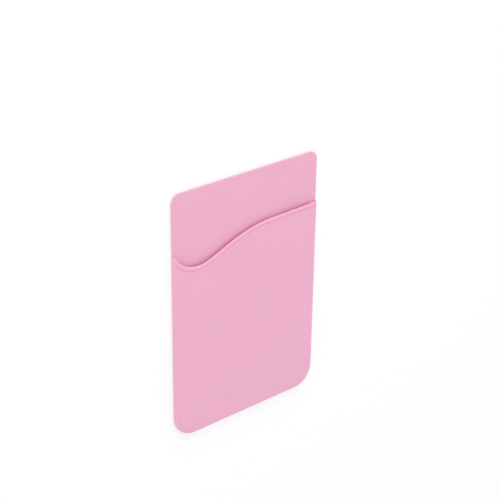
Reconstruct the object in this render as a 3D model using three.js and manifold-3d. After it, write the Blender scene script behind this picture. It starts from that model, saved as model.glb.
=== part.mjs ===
// Stick-on card holder: a thin silicone pouch, moulded in one piece, with its adhesive sheet.
// Millimetres. It lies on its adhesive back, with +Z out of its front and +Y towards its mouth.
// The origin is on the adhesive's face, under the middle of the pouch.
import * as THREE from "three";
import { mergeVertices, toCreasedNormals } from "three/addons/utils/BufferGeometryUtils.js";
import Module from "manifold-3d";

// Slot between the two panels
const slotWidth = 54.5;
const slotThickness = 0.8;
const slotCornerRadius = 3.2;

// Silicone around the slot
const sideRim = 2.25;
const bottomRim = 3;
const backThickness = 0.7;
const frontThickness = 0.7;

// Outline of the pouch
const pouchHeight = 88;
const topCornerRadius = 3;
const bottomCornerRadius = 7.5;
const panelEdgeRadius = 0.25;
const smallestRadius = 0.5;

// Shoulder that rounds the front panel down to the rim
const shoulderWidth = 2;
const shoulderHeight = 1.3;

// Wave of the mouth: drops are from the top edge, and reaches are from the left edge
const tipDrop = 19.3;
const tipOutside = 0.4;
const tipLean = 1.1;
const tipSteepness = 2.8;
const dipDrop = 25.95;
const dipReach = 9.4;
const crestDrop = 18.5;
const crestReach = 39.5;
const crestSag = 0.2;
const rightDrop = 18.05;
const dipRoundness = 5.7;
const riseRoundness = 7.4;
const crestRoundness = 14.5;

// Lip along the mouth, which narrows across the dip, and the crease at its foot
const dipLipWidth = 1.4;
const crestLipWidth = 0.8;
const lipTaper = 12;
const lipRise = 0.15;
const lipEdgeRadius = 0.3;
const creaseWidth = 0.35;
const creaseDepth = 0.15;

// Adhesive sheet
const adhesiveThickness = 0.2;
const adhesiveInset = 1.5;

// Fineness of the curves
const cornerSteps = 14;
const mouthSteps = 64;
const roundSteps = 5;

// Sizes that follow from the driving ones
const halfWidth = slotWidth / 2 + sideRim;
const halfHeight = pouchHeight / 2;
const backFace = adhesiveThickness;
const slotFloor = backFace + backThickness;
const slotRoof = slotFloor + slotThickness;
const frontFace = slotRoof + frontThickness;
const lipFace = frontFace + lipRise;
const clear = 5;

const wasm = await Module();
wasm.setup();

// A closed three.js geometry as a solid for joining and cutting
function toSolid(geometry) {
  geometry.deleteAttribute("normal");
  geometry.deleteAttribute("uv");
  const merged = mergeVertices(geometry);
  const vertProperties = new Float32Array(merged.attributes.position.array);
  const triVerts = new Uint32Array(merged.index.array);
  return new wasm.Manifold(new wasm.Mesh({ numProp: 3, vertProperties, triVerts }));
}

// A finished solid as a three.js geometry, smooth over its curves and sharp at its edges
function toGeometry(solid) {
  const { vertProperties, triVerts } = solid.getMesh();
  const geometry = new THREE.BufferGeometry();
  geometry.setAttribute("position", new THREE.BufferAttribute(vertProperties, 3));
  geometry.setIndex(new THREE.BufferAttribute(triVerts, 1));
  return toCreasedNormals(geometry, Math.PI / 6);
}

// The pouch's outline, moved inwards by inset
function pouchOutline(inset) {
  const x = halfWidth - inset;
  const y = halfHeight - inset;
  const low = Math.max(bottomCornerRadius - inset, smallestRadius);
  const high = Math.max(topCornerRadius - inset, smallestRadius);
  const outline = new THREE.Shape();
  outline.moveTo(low - x, -y);
  outline.absarc(x - low, low - y, low, -Math.PI / 2, 0);
  outline.absarc(x - high, y - high, high, 0, Math.PI / 2);
  outline.absarc(high - x, y - high, high, Math.PI / 2, Math.PI);
  outline.absarc(low - x, low - y, low, Math.PI, 1.5 * Math.PI);
  return outline;
}

// A straight extrusion of a shape between two heights
function prism(shape, bottom, top) {
  const geometry = new THREE.ExtrudeGeometry(shape, {
    depth: top - bottom,
    bevelEnabled: false,
    curveSegments: cornerSteps,
  });
  geometry.translate(0, 0, bottom);
  return toSolid(geometry);
}

// An extrusion with both of its edges rounded, by so much sideways and so much in height.
// A negative sideways size flares the edges out instead, and so cuts a round edge.
function roundedPrism(shape, bottom, top, sideways, upright) {
  const geometry = new THREE.ExtrudeGeometry(shape, {
    depth: top - bottom - 2 * upright,
    bevelThickness: upright,
    bevelSize: sideways,
    bevelOffset: -sideways,
    bevelSegments: roundSteps,
    curveSegments: cornerSteps,
  });
  geometry.translate(0, 0, bottom + upright);
  return toSolid(geometry);
}

// Everything from a height upwards, for trimming
function above(height) {
  const side = 2 * (pouchHeight + clear);
  const block = new THREE.BoxGeometry(side, side, side);
  block.translate(0, 0, height + side / 2);
  return toSolid(block);
}

// The mouth's line, from beyond the left edge through the dip and the crest to the right edge
function mouthCurve() {
  const left = -halfWidth;
  const tip = new THREE.Vector2(left - tipOutside, halfHeight - tipDrop);
  const dip = new THREE.Vector2(left + dipReach, halfHeight - dipDrop);
  const crest = new THREE.Vector2(left + crestReach, halfHeight - crestDrop);
  const right = new THREE.Vector2(halfWidth + clear, halfHeight - rightDrop);
  const curve = new THREE.CurvePath();
  curve.add(new THREE.CubicBezierCurve(
    tip,
    new THREE.Vector2(tip.x + tipLean, tip.y - tipSteepness),
    new THREE.Vector2(dip.x - dipRoundness, dip.y),
    dip,
  ));
  curve.add(new THREE.CubicBezierCurve(
    dip,
    new THREE.Vector2(dip.x + riseRoundness, dip.y),
    new THREE.Vector2(crest.x - crestRoundness, crest.y - crestSag),
    crest,
  ));
  curve.add(new THREE.LineCurve(crest, right));
  return curve;
}

// The lip's width at this distance from the middle
function lipWidth(x) {
  const dip = dipReach - halfWidth;
  const narrowed = THREE.MathUtils.smoothstep(x, dip - lipTaper / 2, dip + lipTaper / 2);
  return THREE.MathUtils.lerp(dipLipWidth, crestLipWidth, narrowed);
}

// Points along the mouth, moved down into the front panel by a share of the lip and a length
function mouthLine(share, beyond) {
  const curve = mouthCurve();
  const points = [];
  for (let i = 0; i <= mouthSteps; i += 1) {
    const along = i / mouthSteps;
    const tangent = curve.getTangentAt(along);
    const point = curve.getPointAt(along);
    const distance = share * lipWidth(point.x) + beyond;
    points.push(new THREE.Vector2(
      point.x + tangent.y * distance,
      point.y - tangent.x * distance,
    ));
  }
  return points;
}

// Everything on the open side of the mouth
function openSide() {
  const points = mouthLine(0, 0);
  const top = halfHeight + clear;
  points.push(new THREE.Vector2(halfWidth + clear, top));
  points.push(new THREE.Vector2(-halfWidth - clear, top));
  points.push(new THREE.Vector2(-halfWidth - clear, points[0].y));
  return new THREE.Shape(points);
}

// A band between two lines along the mouth
function mouthBand(near, far) {
  return new THREE.Shape(near.concat(far.reverse()));
}

// The closed pouch before its slot and mouth are cut, with its front face raised by rise
function closedPouch(rise) {
  const top = frontFace + rise;
  const whole = roundedPrism(pouchOutline(0), -top, top, shoulderWidth, shoulderHeight);
  return whole.intersect(above(backFace + panelEdgeRadius));
}

// The slot, closed at the bottom and open past the top
function slot() {
  const x = slotWidth / 2;
  const y = bottomRim - halfHeight;
  const r = slotCornerRadius;
  const outline = new THREE.Shape();
  outline.moveTo(x, halfHeight + clear);
  outline.lineTo(-x, halfHeight + clear);
  outline.absarc(r - x, y + r, r, Math.PI, 1.5 * Math.PI);
  outline.absarc(x - r, y + r, r, 1.5 * Math.PI, 2 * Math.PI);
  return prism(outline, slotFloor, slotRoof);
}

// What is cut away above the mouth, flared at the lip's front edge so that the lip is round
function mouthCut() {
  const straight = prism(openSide(), slotFloor, lipFace + clear);
  const flareStart = lipFace - lipEdgeRadius;
  const flared = roundedPrism(openSide(), slotFloor - clear, lipFace, -lipEdgeRadius, lipEdgeRadius);
  return straight.add(flared.intersect(above(flareStart)));
}

function pouchSolid() {
  const panel = roundedPrism(pouchOutline(0), backFace, slotFloor, panelEdgeRadius, panelEdgeRadius);
  const lipBand = mouthBand(mouthLine(0, -clear / 2), mouthLine(1, 0));
  const lip = closedPouch(lipRise).intersect(prism(lipBand, slotRoof, lipFace));
  const creaseBand = mouthBand(mouthLine(1, 0), mouthLine(1, creaseWidth));
  const crease = prism(creaseBand, slotFloor, frontFace + clear).subtract(closedPouch(-creaseDepth));
  const pocket = closedPouch(0).add(lip).subtract(crease).subtract(mouthCut());
  return pocket.add(panel).subtract(slot());
}

function adhesiveSolid() {
  return prism(pouchOutline(adhesiveInset), 0, adhesiveThickness);
}

const silicone = new THREE.MeshStandardMaterial({ color: 0xecafcd, roughness: 0.62, metalness: 0 });
const adhesive = new THREE.MeshStandardMaterial({ color: 0xe9e7e1, roughness: 0.4, metalness: 0 });

const pouch = new THREE.Mesh(toGeometry(pouchSolid()), silicone);
pouch.name = "silicone_pouch";

const pad = new THREE.Mesh(toGeometry(adhesiveSolid()), adhesive);
pad.name = "adhesive_pad";

const cardHolder = new THREE.Group();
cardHolder.add(pouch, pad);

export default cardHolder;
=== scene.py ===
import math

import bmesh
import bpy
from bpy.props import FloatProperty, FloatVectorProperty, PointerProperty
from mathutils import Matrix, Vector
from mathutils.geometry import interpolate_bezier


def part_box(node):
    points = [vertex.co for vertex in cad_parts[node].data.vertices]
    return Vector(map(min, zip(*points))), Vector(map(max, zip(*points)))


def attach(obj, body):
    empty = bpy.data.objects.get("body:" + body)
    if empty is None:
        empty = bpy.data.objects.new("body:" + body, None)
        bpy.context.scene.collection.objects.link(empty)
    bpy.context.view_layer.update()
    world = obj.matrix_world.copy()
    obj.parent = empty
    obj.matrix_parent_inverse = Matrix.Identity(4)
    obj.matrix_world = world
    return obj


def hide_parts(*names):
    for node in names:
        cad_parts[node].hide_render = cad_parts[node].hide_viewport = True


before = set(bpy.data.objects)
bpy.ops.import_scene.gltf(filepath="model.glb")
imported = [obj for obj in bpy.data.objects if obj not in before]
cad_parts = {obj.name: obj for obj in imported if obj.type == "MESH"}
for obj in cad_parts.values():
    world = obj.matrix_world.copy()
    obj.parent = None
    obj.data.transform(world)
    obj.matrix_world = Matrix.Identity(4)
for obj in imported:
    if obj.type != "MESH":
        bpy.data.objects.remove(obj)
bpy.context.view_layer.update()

bl_info = {
    "name": "Stick-on card holder",
    "version": (1, 0, 0),
    "blender": (4, 5, 0),
    "location": "3D View > Sidebar > Card Holder",
    "description": "Builds a soft silicone card pouch with its adhesive sheet, and a plain stage",
    "category": "Add Mesh",
}

MM = 0.001
pouch_low, pouch_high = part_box("silicone_pouch")

# How finely the curves are divided
LOW_CORNER_STEPS = 28
HIGH_CORNER_STEPS = 16
SHOULDER_STEPS = 12
EDGE_STEPS = 5
SLOT_CORNER_STEPS = 12
LIP_STEPS = 28
CREASE_STEPS = 14
TIP_STEPS = 70
RISE_STEPS = 90
CREST_STEPS = 90

# Edges that turn more than this stay sharp
SHARP_ANGLE = math.radians(38)
# Points closer than this are one point
WELD = 1e-6
# How far a cutting solid reaches past what it cuts
CLEAR = 5 * MM
# The front panel ends at this share of the lip's width, inside the rolled lip
PANEL_END = 0.4

# Noises in the finishes, in features a metre
GRAIN_SCALE = 2400
WAVE_SCALE = 160
CLOUD_SCALE = 45
FIBRE_SCALE = 700
FILM_CLOUD_SCALE = 60

WHITE = (1, 1, 1, 1)


class PouchSizes(bpy.types.PropertyGroup):
    slot_width: FloatProperty(
        name="Slot width", description="Width of the card slot",
        default=54.5 * MM, min=0, unit="LENGTH")
    slot_thickness: FloatProperty(
        name="Slot thickness", description="Gap between the two panels",
        default=0.8 * MM, min=0, unit="LENGTH")
    slot_corner: FloatProperty(
        name="Slot corner", description="Radius of the slot's bottom corners",
        default=3.2 * MM, min=0, unit="LENGTH")
    slot_round: FloatProperty(
        name="Slot rounding", description="Radius along the slot's inner edges",
        default=0.38 * MM, min=0, unit="LENGTH")
    bottom_rim: FloatProperty(
        name="Bottom rim", description="Solid silicone under the slot",
        default=3 * MM, min=0, unit="LENGTH")
    back_thickness: FloatProperty(
        name="Back thickness", description="Thickness of the back panel",
        default=0.7 * MM, min=0, unit="LENGTH")
    front_thickness: FloatProperty(
        name="Front thickness", description="Thickness of the front panel",
        default=0.7 * MM, min=0, unit="LENGTH")
    low_corner: FloatProperty(
        name="Bottom corner", description="Radius of the two bottom corners",
        default=7.5 * MM, min=0, unit="LENGTH")
    high_corner: FloatProperty(
        name="Top corner", description="Radius of the two top corners",
        default=3 * MM, min=0, unit="LENGTH")
    edge_radius: FloatProperty(
        name="Edge radius", description="Rounding of the back panel's edges",
        default=0.25 * MM, min=0, unit="LENGTH")
    shoulder_width: FloatProperty(
        name="Shoulder width", description="How far in from the rim the front panel is rounded",
        default=2 * MM, min=0, unit="LENGTH")
    shoulder_height: FloatProperty(
        name="Shoulder height", description="How far the front panel drops to the rim",
        default=1.3 * MM, min=0, unit="LENGTH")


class MouthSizes(bpy.types.PropertyGroup):
    tip_drop: FloatProperty(
        name="Tip drop", description="Start of the mouth's line, below the top edge",
        default=19.3 * MM, unit="LENGTH")
    tip_outside: FloatProperty(
        name="Tip outside", description="Start of the mouth's line, outside the left edge",
        default=0.4 * MM, unit="LENGTH")
    tip_lean: FloatProperty(
        name="Tip lean", description="How far the line leans inwards as it comes down",
        default=1.1 * MM, unit="LENGTH")
    tip_steepness: FloatProperty(
        name="Tip steepness", description="How far the line runs down before it turns",
        default=2.8 * MM, unit="LENGTH")
    dip_drop: FloatProperty(
        name="Dip drop", description="Lowest point of the mouth, below the top edge",
        default=25.95 * MM, unit="LENGTH")
    dip_reach: FloatProperty(
        name="Dip reach", description="Lowest point of the mouth, from the left edge",
        default=9.4 * MM, unit="LENGTH")
    dip_roundness: FloatProperty(
        name="Dip roundness", description="Length of the curve's handle left of the dip",
        default=5.7 * MM, unit="LENGTH")
    rise_roundness: FloatProperty(
        name="Rise roundness", description="Length of the curve's handle right of the dip",
        default=6.4 * MM, unit="LENGTH")
    crest_drop: FloatProperty(
        name="Crest drop", description="End of the wave's rise, below the top edge",
        default=18.1 * MM, unit="LENGTH")
    crest_reach: FloatProperty(
        name="Crest reach", description="End of the wave's rise, from the left edge",
        default=39.5 * MM, unit="LENGTH")
    crest_roundness: FloatProperty(
        name="Crest roundness", description="Length of the curve's handle left of the crest",
        default=15.4 * MM, unit="LENGTH")
    crest_sag: FloatProperty(
        name="Crest sag", description="How far that handle hangs below the crest",
        default=0.2 * MM, unit="LENGTH")
    right_drop: FloatProperty(
        name="Right drop", description="Right end of the mouth, below the top edge",
        default=17.7 * MM, unit="LENGTH")
    dip_lip: FloatProperty(
        name="Lip at the dip", description="Width of the rounded lip up to the mouth's lowest point",
        default=1.6 * MM, min=0, unit="LENGTH")
    crest_lip: FloatProperty(
        name="Lip at the crest", description="Width of the rounded lip along the rise and the crest",
        default=1.25 * MM, min=0, unit="LENGTH")
    lip_taper: FloatProperty(
        name="Lip taper", description="Length over which the lip narrows, across the dip",
        default=12 * MM, min=0, unit="LENGTH")
    lip_rise: FloatProperty(
        name="Lip rise", description="How far the lip stands above the front panel",
        default=0.15 * MM, min=0, unit="LENGTH")
    crease_width: FloatProperty(
        name="Crease width", description="Width of the crease at the lip's foot",
        default=0.36 * MM, min=0, unit="LENGTH")
    crease_depth: FloatProperty(
        name="Crease depth", description="Depth of the crease at the lip's foot",
        default=0.15 * MM, min=0, unit="LENGTH")


class Finishes(bpy.types.PropertyGroup):
    silicone: FloatVectorProperty(
        name="Silicone", description="Colour of the silicone",
        default=(0.842, 0.42, 0.583), subtype="COLOR", min=0, max=1)
    silicone_roughness: FloatProperty(
        name="Silicone roughness", description="Mean roughness of the silicone",
        default=0.58, min=0, max=1, subtype="FACTOR")
    grain_depth: FloatProperty(
        name="Grain depth", description="Depth of the fine moulded grain in the silicone",
        default=0.042 * MM, min=0, unit="LENGTH")
    wave_depth: FloatProperty(
        name="Wave depth", description="Depth of the faint flow marks in the silicone",
        default=0.06 * MM, min=0, unit="LENGTH")
    film: FloatVectorProperty(
        name="Adhesive film", description="Colour of the adhesive sheet",
        default=(0.80, 0.78, 0.75), subtype="COLOR", min=0, max=1)
    film_roughness: FloatProperty(
        name="Film roughness", description="Mean roughness of the adhesive sheet",
        default=0.34, min=0, max=1, subtype="FACTOR")
    fibre_depth: FloatProperty(
        name="Fibre depth", description="Depth of the fibres that show in the adhesive sheet",
        default=0.015 * MM, min=0, unit="LENGTH")


class StageSettings(bpy.types.PropertyGroup):
    camera_place: FloatVectorProperty(
        name="Camera place", description="Where the camera stands",
        default=(-0.25338, 0.21676, 0.30593), subtype="TRANSLATION", unit="LENGTH")
    camera_aim: FloatVectorProperty(
        name="Camera aim", description="The point of the floor in the middle of the view",
        default=(0.00231, 0.01561, 0), subtype="TRANSLATION", unit="LENGTH")
    camera_roll: FloatProperty(
        name="Camera roll", description="Turn of the camera about its own axis",
        default=math.radians(0.757), subtype="ANGLE")
    camera_lens: FloatProperty(
        name="Camera lens", description="Focal length on a sensor 36 mm wide, in millimetres",
        default=99.2, min=1)
    floor: FloatVectorProperty(
        name="Floor", description="Colour of the floor",
        default=(0.92, 0.92, 0.92), subtype="COLOR", min=0, max=1)
    floor_reach: FloatProperty(
        name="Floor reach", description="How far the floor reaches from the pouch, each way",
        default=2, min=0, unit="LENGTH")
    floor_whiteness: FloatProperty(
        name="Floor whiteness", description="Share of plain white in the floor that the camera sees",
        default=0.4, min=0, max=1, subtype="FACTOR")
    floor_level: FloatProperty(
        name="Floor level", description="Strength of that white",
        default=1.15, min=0)
    dome_level: FloatProperty(
        name="Dome level", description="Strength of the even light all round",
        default=0.775, min=0)
    horizon_level: FloatProperty(
        name="Horizon level", description="Strength added to that light towards the horizon",
        default=0.6, min=0)
    key_power: FloatProperty(
        name="Key power", description="Power of the soft lamp beyond the pouch's top edge",
        default=2.0, min=0, unit="POWER")
    key_place: FloatVectorProperty(
        name="Key place", description="Where that lamp hangs, facing the pouch",
        default=(-0.1, 0.7, 0.35), subtype="TRANSLATION", unit="LENGTH")
    key_side: FloatProperty(
        name="Key side", description="Length of the lamp's sides",
        default=0.5, min=0, unit="LENGTH")


# Shader maths

class Socket:
    """A shader output: arithmetic on it adds Math nodes."""

    def __init__(self, surface, output):
        self.surface = surface
        self.output = output

    def _math(self, operation, first, second):
        return self.surface.add("ShaderNodeMath", {"operation": operation}, {0: first, 1: second})

    def __add__(self, other):
        return self._math("ADD", self, other)

    def __radd__(self, other):
        return self._math("ADD", other, self)

    def __sub__(self, other):
        return self._math("SUBTRACT", self, other)

    def __rsub__(self, other):
        return self._math("SUBTRACT", other, self)

    def __mul__(self, other):
        return self._math("MULTIPLY", self, other)

    def __rmul__(self, other):
        return self._math("MULTIPLY", other, self)


class Surface:
    """The node tree of one material, or of the world."""

    def __init__(self, owner):
        owner.use_nodes = True
        self.tree = owner.node_tree
        self.tree.nodes.clear()

    def add(self, kind, settings, values, output=0):
        """Adds a node, sets it, then gives its inputs their values or links."""
        node = self.tree.nodes.new(kind)
        for name, value in settings.items():
            setattr(node, name, value)
        for name, value in values.items():
            if isinstance(value, Socket):
                self.tree.links.new(value.output, node.inputs[name])
            else:
                node.inputs[name].default_value = value
        return Socket(self, node.outputs[output])

    def noise(self, scale, detail, roughness=0.5):
        """Noise on the piece's own metres, from 0 to 1, with this many features a metre."""
        where = self.add("ShaderNodeTexCoord", {}, {}, "Object")
        settings = {"noise_dimensions": "3D"}
        values = {"Vector": where, "Scale": scale, "Detail": detail, "Roughness": roughness}
        return self.add("ShaderNodeTexNoise", settings, values, "Fac")

    def relief(self, height):
        """The normal of a surface that stands out by this many metres."""
        return self.add("ShaderNodeBump", {}, {"Strength": 1, "Distance": 1, "Height": height})

    def between(self, mask, low, high):
        """The colour between two colours, as mask goes from 0 to 1."""
        settings = {"data_type": "RGBA", "clamp_factor": True}
        values = {0: mask, 6: (*low, 1), 7: (*high, 1)}
        return self.add("ShaderNodeMix", settings, values, 2)

    def show(self, shader, kind="ShaderNodeOutputMaterial"):
        output = self.tree.nodes.new(kind)
        self.tree.links.new(shader.output, output.inputs["Surface"])


def shade(colour, factor):
    """A colour made lighter or darker by a factor."""
    return tuple(min(1.0, channel * factor) for channel in colour)


def silicone_material(finishes):
    """Soft matte silicone: a fine moulded grain, faint flow marks and a little light let in."""
    material = bpy.data.materials.new("pink_silicone")
    surface = Surface(material)
    clouds = surface.noise(CLOUD_SCALE, detail=3)
    grain = surface.noise(GRAIN_SCALE, detail=3, roughness=0.6)
    waves = surface.noise(WAVE_SCALE, detail=2)
    darker = shade(finishes.silicone, 0.95)
    lighter = shade(finishes.silicone, 1.045)
    roughness_change = (grain - 0.5) * 0.2 + (clouds - 0.5) * 0.1
    skin = surface.add("ShaderNodeBsdfPrincipled", {}, {
        "Base Color": surface.between(clouds * 0.6 + grain * 0.4, darker, lighter),
        "Roughness": finishes.silicone_roughness + roughness_change,
        "Normal": surface.relief(grain * finishes.grain_depth + waves * finishes.wave_depth),
        "IOR": 1.42,
        "Subsurface Weight": 0.12,
        "Subsurface Radius": (1.0, 0.5, 0.6),
        "Subsurface Scale": 0.8 * MM,
        "Sheen Weight": 0.12,
        "Sheen Roughness": 0.45,
    })
    surface.show(skin)
    return material


def film_material(finishes):
    """Adhesive film: pale, half matte, with the fibres of its carrier showing faintly."""
    material = bpy.data.materials.new("adhesive_film")
    surface = Surface(material)
    fibres = surface.noise(FIBRE_SCALE, detail=4, roughness=0.65)
    clouds = surface.noise(FILM_CLOUD_SCALE, detail=2)
    darker = shade(finishes.film, 0.93)
    lighter = shade(finishes.film, 1.05)
    film = surface.add("ShaderNodeBsdfPrincipled", {}, {
        "Base Color": surface.between(fibres * 0.5 + clouds * 0.5, darker, lighter),
        "Roughness": finishes.film_roughness + fibres * 0.14,
        "Normal": surface.relief(fibres * finishes.fibre_depth),
    })
    surface.show(film)
    return material


# Modelling

def plate(x_range, y_range, z_range, low_corner, high_corner):
    """A flat plate with rounded corners, which are given as a radius and its steps."""
    bm = bmesh.new()
    bmesh.ops.create_cube(bm, size=1)
    ranges = (x_range, y_range, z_range)
    size = Vector([end - start for start, end in ranges])
    middle = Vector([end + start for start, end in ranges]) / 2
    bmesh.ops.scale(bm, vec=size, verts=bm.verts)
    bmesh.ops.translate(bm, vec=middle, verts=bm.verts)
    for (radius, steps), side in ((low_corner, -1), (high_corner, 1)):
        if radius > 0:
            uprights = [
                e for e in bm.edges
                if abs(e.verts[0].co.z - e.verts[1].co.z) > size.z / 2
                and (e.verts[0].co.y - middle.y) * side > size.y / 2 - WELD
            ]
            bmesh.ops.bevel(
                bm, geom=uprights, offset=radius, offset_type="OFFSET", affect="EDGES",
                segments=steps, profile=0.5, material=-1, clamp_overlap=False)
    return bm


def round_rim(bm, height, width, drop, steps):
    """Rounds the rim at one height of a plate, by so much sideways and so much in height."""
    stretch = width / drop
    bmesh.ops.scale(bm, vec=(1, 1, stretch), verts=bm.verts)
    level = height * stretch
    rim = [e for e in bm.edges if all(abs(v.co.z - level) < WELD for v in e.verts)]
    bmesh.ops.bevel(
        bm, geom=rim, offset=width, offset_type="OFFSET", affect="EDGES",
        segments=steps, profile=0.5, material=-1, clamp_overlap=False)
    bmesh.ops.scale(bm, vec=(1, 1, 1 / stretch), verts=bm.verts)


class Pouch:
    """The pouch's sizes, the line of its mouth and the solids that it is made of."""

    def __init__(self, sizes, mouth):
        self.sizes = sizes
        self.mouth = mouth
        self.half_width = (pouch_high.x - pouch_low.x) / 2
        self.half_height = (pouch_high.y - pouch_low.y) / 2
        self.back = pouch_low.z
        self.slot_floor = self.back + sizes.back_thickness
        self.slot_roof = self.slot_floor + sizes.slot_thickness
        self.front = self.slot_roof + sizes.front_thickness
        self.line = self.mouth_line()

    def mouth_line(self):
        """Points along the mouth, from left to right past both edges, with their inward directions."""
        m = self.mouth
        left, top = -self.half_width, self.half_height
        tip = Vector((left - m.tip_outside, top - m.tip_drop))
        dip = Vector((left + m.dip_reach, top - m.dip_drop))
        crest = Vector((left + m.crest_reach, top - m.crest_drop))
        right = Vector((self.half_width + CLEAR, top - m.right_drop))
        tip_handle = tip + Vector((m.tip_lean, -m.tip_steepness))
        dip_left = dip - Vector((m.dip_roundness, 0))
        dip_right = dip + Vector((m.rise_roundness, 0))
        crest_handle = crest - Vector((m.crest_roundness, m.crest_sag))
        third = (right - crest) / 3
        points = interpolate_bezier(tip, tip_handle, dip_left, dip, TIP_STEPS)
        points += interpolate_bezier(dip, dip_right, crest_handle, crest, RISE_STEPS)[1:]
        points += interpolate_bezier(crest, crest + third, right - third, right, CREST_STEPS)[1:]
        line = []
        for i, point in enumerate(points):
            along = points[min(i + 1, len(points) - 1)] - points[max(i - 1, 0)]
            inward = Vector((along.y, -along.x)).normalized()
            line.append((point, inward))
        return line

    def lip_width(self, x):
        """How wide the lip is at this distance from the middle."""
        m = self.mouth
        dip = m.dip_reach - self.half_width
        share = (x - dip) / m.lip_taper + 0.5
        share = min(max(share, 0), 1)
        share = share * share * (3 - 2 * share)
        return m.dip_lip + (m.crest_lip - m.dip_lip) * share

    def shoulder_drop(self, x):
        """How far the front face has dropped at this distance from the middle."""
        s = self.sizes
        reach = 1 - (self.half_width - abs(x)) / s.shoulder_width
        reach = min(max(reach, 0), 1)
        return s.shoulder_height * (1 - math.sqrt(1 - reach * reach))

    def outline_plate(self, bottom, top):
        s = self.sizes
        return plate(
            (-self.half_width, self.half_width), (-self.half_height, self.half_height), (bottom, top),
            (s.low_corner, LOW_CORNER_STEPS), (s.high_corner, HIGH_CORNER_STEPS))

    def closed_pocket(self):
        """The pocket before its slot and mouth are cut."""
        s = self.sizes
        bm = self.outline_plate(self.back + s.edge_radius, self.front)
        round_rim(bm, self.front, s.shoulder_width, s.shoulder_height, SHOULDER_STEPS)
        return bm

    def back_panel(self):
        s = self.sizes
        bm = self.outline_plate(self.back, self.slot_floor)
        for height in (self.back, self.slot_floor):
            round_rim(bm, height, s.edge_radius, s.edge_radius, EDGE_STEPS)
        return bm

    def slot(self):
        s = self.sizes
        bm = plate(
            (-s.slot_width / 2, s.slot_width / 2),
            (s.bottom_rim - self.half_height, self.half_height + CLEAR),
            (self.slot_floor, self.slot_roof),
            (s.slot_corner, SLOT_CORNER_STEPS), (0, 0))
        for height in (self.slot_floor, self.slot_roof):
            round_rim(bm, height, s.slot_round, s.slot_round, EDGE_STEPS)
        return bm

    def open_side(self, share):
        """What is cut away above the mouth, and this share of the lip's width."""
        bm = bmesh.new()
        points = [point + inward * self.lip_width(point.x) * share for point, inward in self.line]
        top = self.half_height + CLEAR
        points.append(Vector((self.half_width + CLEAR, top)))
        points.append(Vector((-self.half_width - CLEAR, top)))
        points.append(Vector((-self.half_width - CLEAR, points[0].y)))
        base = bm.faces.new([bm.verts.new((p.x, p.y, self.slot_floor)) for p in points])
        raised = bmesh.ops.extrude_face_region(bm, geom=[base])["geom"]
        lifted = [v for v in raised if isinstance(v, bmesh.types.BMVert)]
        bmesh.ops.translate(bm, vec=(0, 0, CLEAR), verts=lifted)
        bmesh.ops.recalc_face_normals(bm, faces=bm.faces)
        return bm

    def swept(self, near, far, middle, half_height, rise, steps):
        """An ellipse swept along the mouth, which follows the shoulder down at both ends.

        It reaches from near to far, each a share of the lip's width and a length beyond it,
        and what it rises above the front face is gone at the rim.
        """
        fall = 1 + rise / self.sizes.shoulder_height
        bm = bmesh.new()
        rings = []
        for point, inward in self.line:
            width = self.lip_width(point.x)
            start = near[0] * width + near[1]
            end = far[0] * width + far[1]
            ring = bmesh.ops.create_circle(bm, segments=steps, radius=1)["verts"]
            rings.append(list({e for v in ring for e in v.link_edges}))
            for v in ring:
                place = point + inward * ((start + end) / 2 + v.co.x * (end - start) / 2)
                drop = self.shoulder_drop(place.x) * fall
                v.co = (place.x, place.y, middle + v.co.y * half_height - drop)
        for first, second in zip(rings, rings[1:]):
            bmesh.ops.bridge_loops(bm, edges=first + second)
        for end in (rings[0], rings[-1]):
            bmesh.ops.edgeloop_fill(bm, edges=end)
        bmesh.ops.recalc_face_normals(bm, faces=bm.faces)
        return bm

    def lip(self):
        """The rolled edge of the front panel, as thick as the panel and its rise."""
        rise = self.mouth.lip_rise
        half = (self.sizes.front_thickness + rise) / 2
        return self.swept((0, 0), (1, 0), self.slot_roof + half, half, rise, LIP_STEPS)

    def crease(self):
        """The crease along the lip's foot."""
        m = self.mouth
        half = m.crease_width / 2
        return self.swept((1, -half), (1, half), self.front, m.crease_depth, 0, CREASE_STEPS)


def mesh_object(name, bm):
    """A new object in the scene with this mesh."""
    mesh = bpy.data.meshes.new(name)
    bm.to_mesh(mesh)
    bm.free()
    made = bpy.data.objects.new(name, mesh)
    bpy.context.scene.collection.objects.link(made)
    return made


def take_mesh(made):
    """The bmesh of an object, which is removed with its mesh."""
    bm = bmesh.new()
    bm.from_mesh(made.data)
    bpy.data.meshes.remove(made.data)
    return bm


def combine(target, bm, operation):
    """Joins a solid to the target object, cuts it out, or keeps what they share."""
    tool = mesh_object("tool", bm)
    modifier = target.modifiers.new("combine", "BOOLEAN")
    modifier.operation = operation
    modifier.solver = "MANIFOLD"
    modifier.object = tool
    graph = bpy.context.evaluated_depsgraph_get()
    result = bpy.data.meshes.new_from_object(target.evaluated_get(graph))
    target.modifiers.clear()
    spent = target.data
    target.data = result
    bpy.data.meshes.remove(spent)
    bpy.data.meshes.remove(tool.data)


def finish_surface(target, material):
    """Cleans a finished mesh, and shades it smooth up to its sharp edges."""
    bm = bmesh.new()
    bm.from_mesh(target.data)
    bmesh.ops.remove_doubles(bm, verts=bm.verts, dist=WELD)
    bmesh.ops.dissolve_degenerate(bm, edges=bm.edges, dist=WELD)
    for face in bm.faces:
        face.smooth = True
    for edge in bm.edges:
        edge.smooth = edge.is_manifold and edge.calc_face_angle(0) < SHARP_ANGLE
    bm.to_mesh(target.data)
    bm.free()
    target.data.materials.clear()
    target.data.materials.append(material)
    weighted = target.modifiers.new("weighted_normals", "WEIGHTED_NORMAL")
    weighted.mode = "FACE_AREA"
    weighted.weight = 100
    weighted.keep_sharp = True


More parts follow.
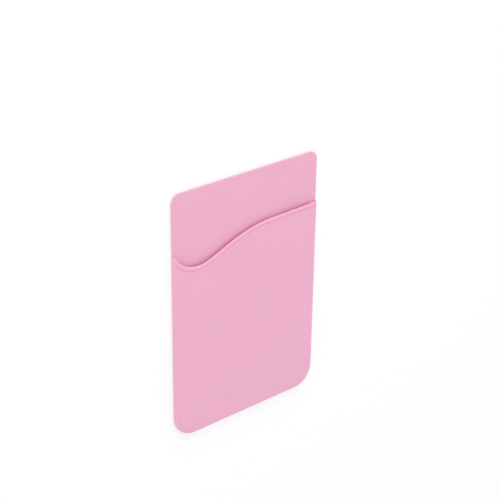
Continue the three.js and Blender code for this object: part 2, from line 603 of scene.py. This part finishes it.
class CARDHOLDER_OT_pouch(bpy.types.Operator):
    """Build the silicone pouch"""
    bl_idname = "cardholder.pouch"
    bl_label = "Silicone Pouch"

    def execute(self, context):
        scene = context.scene
        pouch = Pouch(scene.pouch_sizes, scene.mouth_sizes)
        body = mesh_object("soft_pouch", pouch.closed_pocket())
        combine(body, pouch.open_side(PANEL_END), "DIFFERENCE")
        combine(body, pouch.slot(), "DIFFERENCE")
        lip = mesh_object("lip", pouch.lip())
        combine(lip, pouch.outline_plate(pouch.slot_floor, pouch.front + CLEAR), "INTERSECT")
        combine(body, take_mesh(lip), "UNION")
        combine(body, pouch.crease(), "DIFFERENCE")
        combine(body, pouch.back_panel(), "UNION")
        finish_surface(body, silicone_material(scene.card_holder_finishes))
        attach(body, "root")
        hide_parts("silicone_pouch")
        return {"FINISHED"}


class CARDHOLDER_OT_adhesive(bpy.types.Operator):
    """Finish the adhesive sheet on the pouch's back"""
    bl_idname = "cardholder.adhesive"
    bl_label = "Adhesive Sheet"

    def execute(self, context):
        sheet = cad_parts["adhesive_pad"]
        sheet.data.materials.clear()
        sheet.data.materials.append(film_material(context.scene.card_holder_finishes))
        return {"FINISHED"}


def seen_directly(surface):
    """1 for what the camera sees, straight or in a gloss or a glass, and 0 for the rest."""
    camera = surface.add("ShaderNodeLightPath", {}, {}, "Is Camera Ray")
    glossy = surface.add("ShaderNodeLightPath", {}, {}, "Is Glossy Ray")
    through = surface.add("ShaderNodeLightPath", {}, {}, "Is Transmission Ray")
    return camera + glossy + through


class CARDHOLDER_OT_stage(bpy.types.Operator):
    """Build the floor, the light and the camera"""
    bl_idname = "cardholder.stage"
    bl_label = "Stage"

    def execute(self, context):
        scene = context.scene
        settings = scene.card_holder_stage
        self.floor(settings)
        self.world(scene, settings)
        self.key_lamp(scene, settings)
        self.camera(scene, settings)
        scene.view_settings.view_transform = "Standard"
        return {"FINISHED"}

    def floor(self, settings):
        bm = bmesh.new()
        bmesh.ops.create_grid(bm, x_segments=1, y_segments=1, size=settings.floor_reach)
        ground = mesh_object("floor", bm)
        material = bpy.data.materials.new("pale_floor")
        surface = Surface(material)
        matte = surface.add("ShaderNodeBsdfDiffuse", {}, {"Color": (*settings.floor, 1)})
        white = surface.add("ShaderNodeEmission", {}, {"Color": WHITE, "Strength": settings.floor_level})
        share = seen_directly(surface) * settings.floor_whiteness
        surface.show(surface.add("ShaderNodeMixShader", {}, {0: share, 1: matte, 2: white}))
        ground.data.materials.append(material)

    def key_lamp(self, scene, settings):
        data = bpy.data.lights.new("key_lamp", "AREA")
        data.shape = "SQUARE"
        data.size = settings.key_side
        data.energy = settings.key_power
        lamp = bpy.data.objects.new("key_lamp", data)
        lamp.location = settings.key_place
        lamp.rotation_mode = "QUATERNION"
        lamp.rotation_quaternion = Vector(settings.key_place).to_track_quat("Z", "Y")
        scene.collection.objects.link(lamp)

    def world(self, scene, settings):
        world = bpy.data.worlds.new("soft_white")
        scene.world = world
        surface = Surface(world)
        direction = surface.add("ShaderNodeTexCoord", {}, {}, "Generated")
        height = surface.add("ShaderNodeSeparateXYZ", {}, {"Vector": direction}, "Z")
        lowness = 1 - height
        strength = settings.dome_level + lowness * lowness * settings.horizon_level
        dome = surface.add("ShaderNodeBackground", {}, {"Color": WHITE, "Strength": strength})
        white = surface.add("ShaderNodeBackground", {}, {"Color": WHITE, "Strength": 1})
        mixed = surface.add("ShaderNodeMixShader", {}, {0: seen_directly(surface), 1: dome, 2: white})
        surface.show(mixed, "ShaderNodeOutputWorld")

    def camera(self, scene, settings):
        data = bpy.data.cameras.new("camera")
        data.lens = settings.camera_lens
        camera = bpy.data.objects.new("camera", data)
        scene.collection.objects.link(camera)
        place = Vector(settings.camera_place)
        back = (place - Vector(settings.camera_aim)).normalized()
        right = Vector((0, 1, 0)).cross(back).normalized()
        turn = Matrix((right, back.cross(right), back)).transposed().to_4x4()
        camera.matrix_world = (
            Matrix.Translation(place) @ turn @ Matrix.Rotation(settings.camera_roll, 4, "Z"))
        scene.camera = camera


class CARDHOLDER_PT_panel(bpy.types.Panel):
    """Lists the pieces of the card holder and the stage"""
    bl_label = "Card Holder"
    bl_idname = "CARDHOLDER_PT_panel"
    bl_space_type = "VIEW_3D"
    bl_region_type = "UI"
    bl_category = "Card Holder"

    def draw(self, context):
        for operator in OPERATORS:
            self.layout.operator(operator.bl_idname)
        for name in GROUPS:
            group = getattr(context.scene, name)
            box = self.layout.box()
            for prop in type(group).__annotations__:
                box.prop(group, prop)


OPERATORS = (CARDHOLDER_OT_pouch, CARDHOLDER_OT_adhesive, CARDHOLDER_OT_stage)
GROUPS = {
    "pouch_sizes": PouchSizes,
    "mouth_sizes": MouthSizes,
    "card_holder_finishes": Finishes,
    "card_holder_stage": StageSettings,
}
CLASSES = (*GROUPS.values(), *OPERATORS, CARDHOLDER_PT_panel)


def register():
    for cls in CLASSES:
        bpy.utils.register_class(cls)
    for name, group in GROUPS.items():
        setattr(bpy.types.Scene, name, PointerProperty(type=group))


def unregister():
    for name in GROUPS:
        delattr(bpy.types.Scene, name)
    for cls in reversed(CLASSES):
        bpy.utils.unregister_class(cls)


def main():
    register()
    bpy.ops.cardholder.pouch()
    bpy.ops.cardholder.adhesive()
    bpy.ops.cardholder.stage()


if __name__ == "__main__":
    main()
